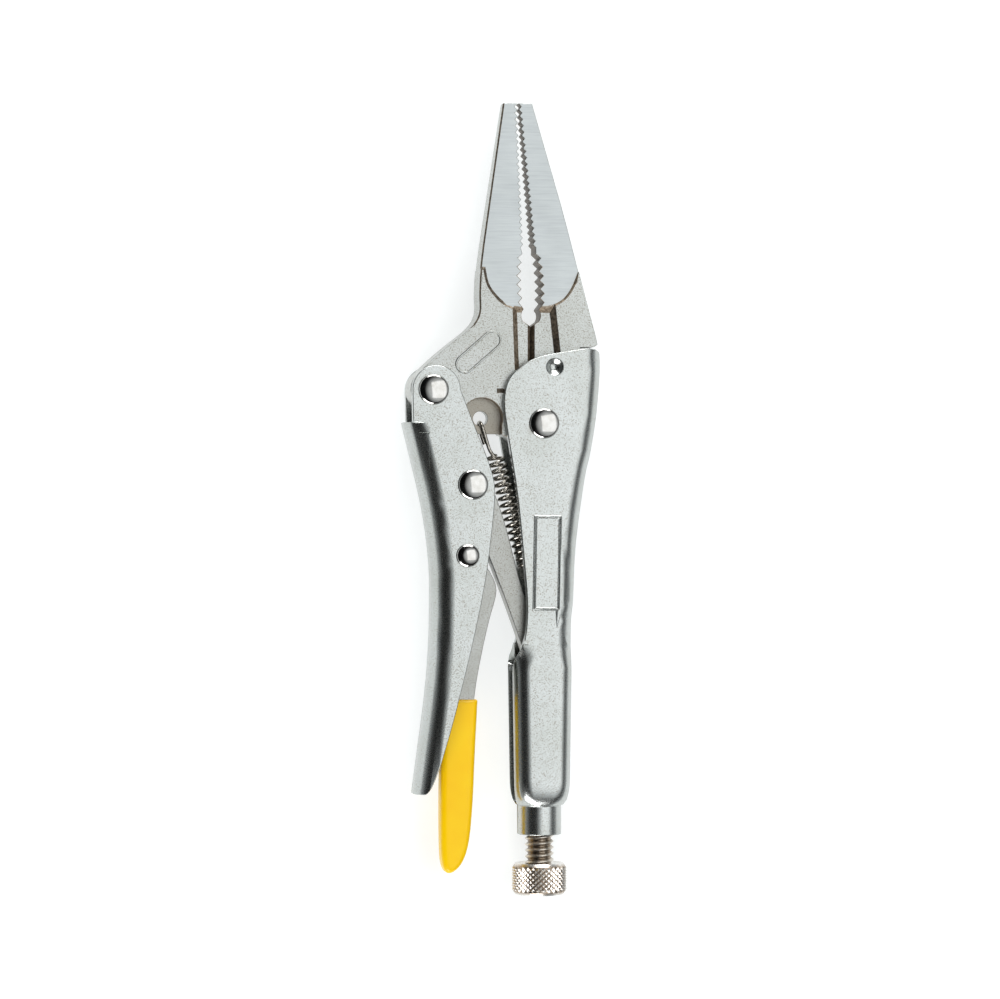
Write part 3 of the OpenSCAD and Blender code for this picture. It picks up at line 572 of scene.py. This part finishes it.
def spun(section, centre, axis, start, steps):
    """A closed shape of revolution about a line through centre. start is the direction of radius."""
    bm = bmesh.new()
    points = [bm.verts.new(centre + start * r * MM + axis * h * MM) for r, h in section]
    edges = [bm.edges.new(pair) for pair in zip(points, points[1:])]
    bmesh.ops.spin(bm, geom=points + edges, cent=centre, axis=axis, angle=math.tau, steps=steps,
                   use_merge=True)
    bmesh.ops.remove_doubles(bm, verts=bm.verts, dist=MERGE_MM * MM)
    bmesh.ops.recalc_face_normals(bm, faces=bm.faces)
    return bm


def rivet(node_name, name, body):
    low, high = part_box(node_name)
    top = (high.z - low.z) / 2 / MM
    upper = head_section((high.x - low.x) / 2 / MM, top)
    lower = [(r, -h) for r, h in reversed(upper)]
    bm = spun(upper + lower, (low + high) / 2, Vector((0, 0, 1)), Vector((1, 0, 0)), 64)
    return finish_piece(bm, name, [rivet_nickel], [node_name], body, 50.0)


rivet("main_rivet", "main_pivot_rivet", "handle_frame")
rivet("lever_rivet", "lever_pivot_rivet", "lever")
rivet("link_rivet", "link_pivot_rivet", "lever")
rivet("release_rivet", "release_pivot_rivet", "lever")

# %% [markdown]
# ## Return spring
#
# The spring is one wire: an open hook through the hole in the jaw's web, about sixteen coils,
# and a second hook round the tongue in the handle. A curve with a round bevel carries the wire
# along one path. The hooks' points are smoothed, and the coils come from a loop. The real
# spring shortens as the jaw opens, but this piece keeps its shape.

# %% Return spring
WIRE_D, COIL_D, COIL_PITCH = 0.75, 4.2, 1.5
COIL_TOP, COIL_END = Vector((-9.5, -6.6, 0)), Vector((-2.3, -30.4, 0))
HOOK_Z = 2.03
UPPER_HOOK = [(-11.3, -4.3, -HOOK_Z), (-12.2, -1.6, -HOOK_Z), (-12.55, -0.5, -HOOK_Z), (-12.65, 0.1, -1.3),
              (-12.65, 0.3, 0), (-12.65, 0.1, 1.3), (-12.45, -0.5, HOOK_Z), (-11.6, -3.2, HOOK_Z),
              (-10.9, -5.4, HOOK_Z), (-10.1, -6.6, 1.95)]
LOWER_HOOK = [(-1.3, -31.9, 1.9), (0.1, -34.0, 2.25), (0.4, -36.0, 2.2), (0.4, -37.0, 1.2), (0.4, -37.1, 0),
              (0.4, -37.0, -1.2), (0.4, -35.6, -2.2)]


def smoothed(points, steps):
    """Points on a smooth curve through the given ones."""
    points = [Vector(p) for p in points]
    made = []
    for i in range(len(points) - 1):
        a, b = points[max(i - 1, 0)], points[i]
        c, d = points[i + 1], points[min(i + 2, len(points) - 1)]
        for k in range(steps):
            t = k / steps
            made.append((2 * b + (c - a) * t + (2 * a - 5 * b + 4 * c - d) * t * t
                         + (3 * b - a - 3 * c + d) * t ** 3) / 2)
    return made + [points[-1]]


def coil_points(steps):
    along = COIL_END - COIL_TOP
    turns = round(along.length / COIL_PITCH)
    side = Vector((-along.y, along.x, 0)).normalized()
    radius = (COIL_D - WIRE_D) / 2
    made = []
    for k in range(turns * steps + 1):
        angle = math.tau * k / steps + math.pi / 2
        centre = COIL_TOP + along * k / (turns * steps)
        made.append(centre + radius * (math.cos(angle) * side + math.sin(angle) * Vector((0, 0, 1))))
    return made


def wire_piece(points, name):
    curve = bpy.data.curves.new(name, "CURVE")
    curve.dimensions = "3D"
    curve.bevel_depth = WIRE_D / 2 * MM
    curve.bevel_resolution = 3
    curve.use_fill_caps = True
    line = curve.splines.new("POLY")
    line.points.add(len(points) - 1)
    for point, q in zip(line.points, points):
        point.co = (*place(*q), 1.0)
    work = bpy.data.objects.new("work", curve)
    bpy.context.scene.collection.objects.link(work)
    bm = bmesh.new()
    bm.from_mesh(bpy.data.meshes.new_from_object(work, depsgraph=bpy.context.evaluated_depsgraph_get()))
    bpy.data.objects.remove(work)
    bmesh.ops.remove_doubles(bm, verts=bm.verts, dist=MERGE_MM * MM)
    return finish_piece(bm, name, [spring_steel], ["return_spring"], "handle_frame", 60.0)


wire = smoothed(UPPER_HOOK, 6) + coil_points(28) + smoothed(LOWER_HOOK, 6)
spring = wire_piece(wire, "return_spring_wire")
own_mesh(spring)

# %% [markdown]
# ## Adjusting screw
#
# A rolled thread is one V-shaped ridge that climbs the rod. Its section over one pitch is spun
# about the axis while each step also moves along it, so after a whole turn the end of one ridge
# meets the start of the next, and merging the doubles closes the skin. Turning about the
# direction in which it moves makes the thread right-handed.

# %% Adjusting screw
PITCH = 1.27
THREAD_DEPTH = 0.6
STEPS_PER_TURN = 36
screw_low, screw_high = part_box("adjusting_screw")
screw_axis = (screw_low + screw_high) / 2
screw_r = (screw_high.x - screw_low.x) / 2 / MM
knob_low, knob_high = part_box("adjusting_knob")
THREAD_INTO_KNOB = 1.2  # the thread runs on this far inside the knob


def store_depth(bm, depth):
    """Writes the depth number that sets the painted groove shade: 0 on a crest and 1 in a root."""
    layer = bm.verts.layers.float.new("groove")
    for vert in bm.verts:
        vert[layer] = depth(vert.co)


def from_axis(point):
    return math.hypot(point.x - screw_axis.x, point.z - screw_axis.z) / MM


def thread():
    root_r = screw_r - THREAD_DEPTH
    section = [(root_r, 0.0), (root_r, 0.1), (screw_r, 0.56), (screw_r, 0.7),
               (root_r, 1.17), (root_r, PITCH)]
    end = knob_high.y - THREAD_INTO_KNOB * MM
    turns = int((screw_high.y - end) / MM / PITCH)
    top = Vector((screw_axis.x, end + turns * PITCH * MM, screw_axis.z))
    down = Vector((0, -1, 0))
    bm = bmesh.new()
    points = [bm.verts.new(top + Vector((r * MM, -h * MM, 0))) for r, h in section]
    edges = [bm.edges.new(pair) for pair in zip(points, points[1:])]
    bmesh.ops.spin(bm, geom=points + edges, cent=top, axis=down, dvec=down * PITCH * MM / STEPS_PER_TURN,
                   angle=math.tau * (turns - 1), steps=STEPS_PER_TURN * (turns - 1))
    bmesh.ops.remove_doubles(bm, verts=bm.verts, dist=MERGE_MM * MM)
    open_edges = [e for e in bm.edges if len(e.link_faces) == 1]
    bmesh.ops.holes_fill(bm, edges=open_edges, sides=0)
    bmesh.ops.recalc_face_normals(bm, faces=bm.faces)
    turn = Matrix.Rotation(math.pi / 2, 4, "X")
    for low, high in ((end, end + PITCH * MM), (top.y - PITCH * MM, screw_high.y)):
        middle = Matrix.Translation((screw_axis.x, (low + high) / 2, screw_axis.z))
        bmesh.ops.create_cone(bm, cap_ends=True, segments=48, radius1=(root_r + 0.1) * MM,
                              radius2=(root_r + 0.1) * MM, depth=high - low, matrix=middle @ turn)
    # the thread's roots are painted darker as shade
    store_depth(bm, lambda co: min(1.0, max(0.0, (screw_r - from_axis(co)) / THREAD_DEPTH)))
    return bm


finish_piece(thread(), "adjusting_thread", [thread_nickel], ["adjusting_screw"], "knob",
             40.0)

# %% [markdown]
# ## Knurled knob
#
# Two wheels press crossing grooves into the knob, and what stays between the grooves are small
# diamonds. A flat grid is wrapped round the knob, with every second point pressed in like a
# chessboard. Each square is then split between its two low points, which makes four-sided
# points with straight grooves between them. The plain chamfers close the ends.

# %% Knurled knob
KNURL_COLUMNS = 60
KNURL_ROWS = 10
KNURL_DEPTH = 0.38
CHAMFER = 0.75


def knob():
    radius = (knob_high.x - knob_low.x) / 2 / MM
    length = (knob_high.y - knob_low.y) / MM
    rows = KNURL_ROWS + 2
    bm = bmesh.new()
    bmesh.ops.create_grid(bm, x_segments=KNURL_COLUMNS, y_segments=rows, size=0.5)
    low = set()
    for vert in bm.verts:
        column, row = round((vert.co.x + 0.5) * KNURL_COLUMNS), round((vert.co.y + 0.5) * rows)
        angle = math.tau * column / KNURL_COLUMNS
        if row in (0, rows):
            r, along = radius - CHAMFER, (0 if row == 0 else length)
        else:
            pressed = (column + row) % 2 == 0
            r = radius - (KNURL_DEPTH if pressed or row in (1, rows - 1) else 0.0)
            along = CHAMFER * 0.8 + (length - 1.6 * CHAMFER) * (row - 1) / KNURL_ROWS
            if pressed:
                low.add(vert)
        vert.co = Vector((knob_low.x + (radius + r * math.cos(angle)) * MM, knob_low.y + along * MM,
                          screw_axis.z + r * math.sin(angle) * MM))
    for face in list(bm.faces):
        pair = [v for v in face.verts if v in low]
        if len(pair) == 2:
            bmesh.utils.face_split(face, pair[0], pair[1])
    bmesh.ops.remove_doubles(bm, verts=bm.verts, dist=MERGE_MM * MM)
    open_edges = [e for e in bm.edges if len(e.link_faces) == 1]
    caps = bmesh.ops.holes_fill(bm, edges=open_edges, sides=0)["faces"]
    bmesh.ops.recalc_face_normals(bm, faces=bm.faces)
    bmesh.ops.inset_region(bm, faces=caps, thickness=0.5 * MM, depth=0.0)
    bmesh.ops.inset_region(bm, faces=caps, thickness=0.25 * MM, depth=-0.15 * MM)
    # the knurl's grooves are painted darker as shade; the chamfered ends get a faint even share of it
    store_depth(bm, lambda co: min(1.0, max(0.0, (radius - from_axis(co)) / KNURL_DEPTH)) if
                from_axis(co) > radius - KNURL_DEPTH * 1.2 else 0.25)
    return bm


finish_piece(knob(), "knurled_knob", [knurl_nickel], ["adjusting_knob"], "knob", 18.0)

# %% [markdown]
# ## Floor
#
# The tool lies on a sheet of opal acrylic, as on a light table. The sheet glows a little, so
# the gaps between the parts show pale, there is hardly a shadow, and the sides of the tool are
# lit from below. The glow is a constant on the shader, and the colour varies only slightly.

# %% Floor
def floor():
    bm = bmesh.new()
    bmesh.ops.create_grid(bm, x_segments=1, y_segments=1, size=3.0)
    mesh = bpy.data.meshes.new("floor")
    bm.to_mesh(mesh)
    bm.free()
    glow = {"Roughness": 0.9, "Emission Color": linear("#FAFCFC"), "Emission Strength": 0.74}
    material, tree, shader = shader_for("light_table_acrylic", glow)
    where = add(tree, "ShaderNodeTexCoord").outputs["Object"]
    grain = add(tree, "ShaderNodeTexNoise", {"Vector": where, "Scale": scale_for(2.0)})
    colour = stops(add(tree, "ShaderNodeValToRGB", {"Fac": grain.outputs["Fac"]}),
                   (0.3, "#A6A8A8"), (0.7, "#AAACAC"))
    tree.links.new(colour.outputs["Color"], shader.inputs["Base Color"])
    mesh.materials.append(material)
    plane = bpy.data.objects.new("floor", mesh)
    bpy.context.scene.collection.objects.link(plane)


floor()
print("floor laid")

# %% [markdown]
# ## Light
#
# Polished metal shows the room, so the room decides how it looks. A bright ceiling makes the
# flat faces pale. It leans to the right, so the folds on the left mirror the dark part of the
# room and turn black, as rolled sheet does beside a window. A grey glow low on the walls keeps
# the sides from going black when they are seen from the side. Two soft boxes beyond the ends
# light the vinyl and the knob without showing in the long folds, and a weak one stands
# overhead. The world's colour is a ramp on the direction of the light: one ramp for the leaning
# ceiling and one for the walls, and the lighter of the two wins.

# %% Light
def soft_box(name, offset, size, power, aim):
    """A rectangular lamp, offset from the middle of the tool in metres, facing the point aim."""
    lamp = bpy.data.lights.new(name, "AREA")
    lamp.shape = "RECTANGLE"
    lamp.size, lamp.size_y = size
    lamp.energy = power
    holder = bpy.data.objects.new(name, lamp)
    holder.location = offset
    holder.rotation_euler = (Vector(offset) - Vector(aim)).to_track_quat("Z", "Y").to_euler()
    bpy.context.scene.collection.objects.link(holder)


soft_box("overhead", (0.42, 0.04, 1.0), (1.0, 0.9), 2.2, (0, 0, 0))
soft_box("far_end", (0.15, 1.3, 0.65), (1.2, 0.7), 17.0, (0, 0, 0))
soft_box("near_end", (-0.45, -1.25, 0.65), (1.2, 0.7), 17.0, (0, 0, 0))

CEILING_LEAN = math.radians(22)     # the bright ceiling leans this far to the right


def studio_world():
    world = bpy.data.worlds.new("studio")
    bpy.context.scene.world = world
    world.use_nodes = True
    tree = world.node_tree
    direction = add(tree, "ShaderNodeTexCoord").outputs["Generated"]
    ceiling = (math.sin(CEILING_LEAN), 0.0, math.cos(CEILING_LEAN))
    lean = add(tree, "ShaderNodeVectorMath", {0: direction, 1: ceiling}, operation="DOT_PRODUCT")
    room = stops(add(tree, "ShaderNodeValToRGB", {"Fac": lean.outputs["Value"]}),
                 (0.02, "#3A3C3C"), (0.25, "#060707"), (0.74, "#0C0D0D"), (0.88, "#CED1D2"))
    height = add(tree, "ShaderNodeSeparateXYZ", {"Vector": direction}).outputs["Z"]
    walls = stops(add(tree, "ShaderNodeValToRGB", {"Fac": height}),
                  (0.16, "#9EA1A2"), (0.44, "#000000"))
    both = add(tree, "ShaderNodeMix", {"Factor": 1.0, 6: room.outputs["Color"], 7: walls.outputs["Color"]},
               data_type="RGBA", blend_type="LIGHTEN")
    seen = add(tree, "ShaderNodeLightPath").outputs["Is Camera Ray"]
    shown = add(tree, "ShaderNodeMix", {"Factor": seen, 6: both.outputs[2], 7: linear("#EEF0F0")},
                data_type="RGBA")
    tree.links.new(shown.outputs[2], tree.nodes["Background"].inputs["Color"])
    tree.nodes["Background"].inputs["Strength"].default_value = 1.0


studio_world()
bpy.context.scene.view_settings.view_transform = "Standard"     # Blender's AgX would grey the yellow
print("lights set")

# %% [markdown]
# ## Camera
#
# The camera stands almost straight above the tool, leaning 9.5 degrees to the lever's side, so
# that the left faces of the handles show.

# %% Camera
CAMERA_LEAN = math.radians(9.5)
CAMERA_FAR = 800.0
LOOK_AT = place(-8.09, -15.82, -1.35)
FRAME_WIDTH = 209.2     # width of the view at that distance
towards = Vector((-math.sin(CAMERA_LEAN), 0, math.cos(CAMERA_LEAN)))
right = Vector((math.cos(CAMERA_LEAN), 0, math.sin(CAMERA_LEAN)))
lens = bpy.data.cameras.new("camera")
lens.sensor_width = 36.0
lens.lens = lens.sensor_width * CAMERA_FAR / FRAME_WIDTH
lens.clip_start = 0.01
camera = bpy.data.objects.new("camera", lens)
basis = Matrix((right, Vector((0, 1, 0)), towards)).transposed().to_4x4()
camera.matrix_world = Matrix.Translation(LOOK_AT + towards * CAMERA_FAR * MM) @ basis
bpy.context.scene.collection.objects.link(camera)
bpy.context.scene.camera = camera
print("lens", round(lens.lens, 1), "mm")
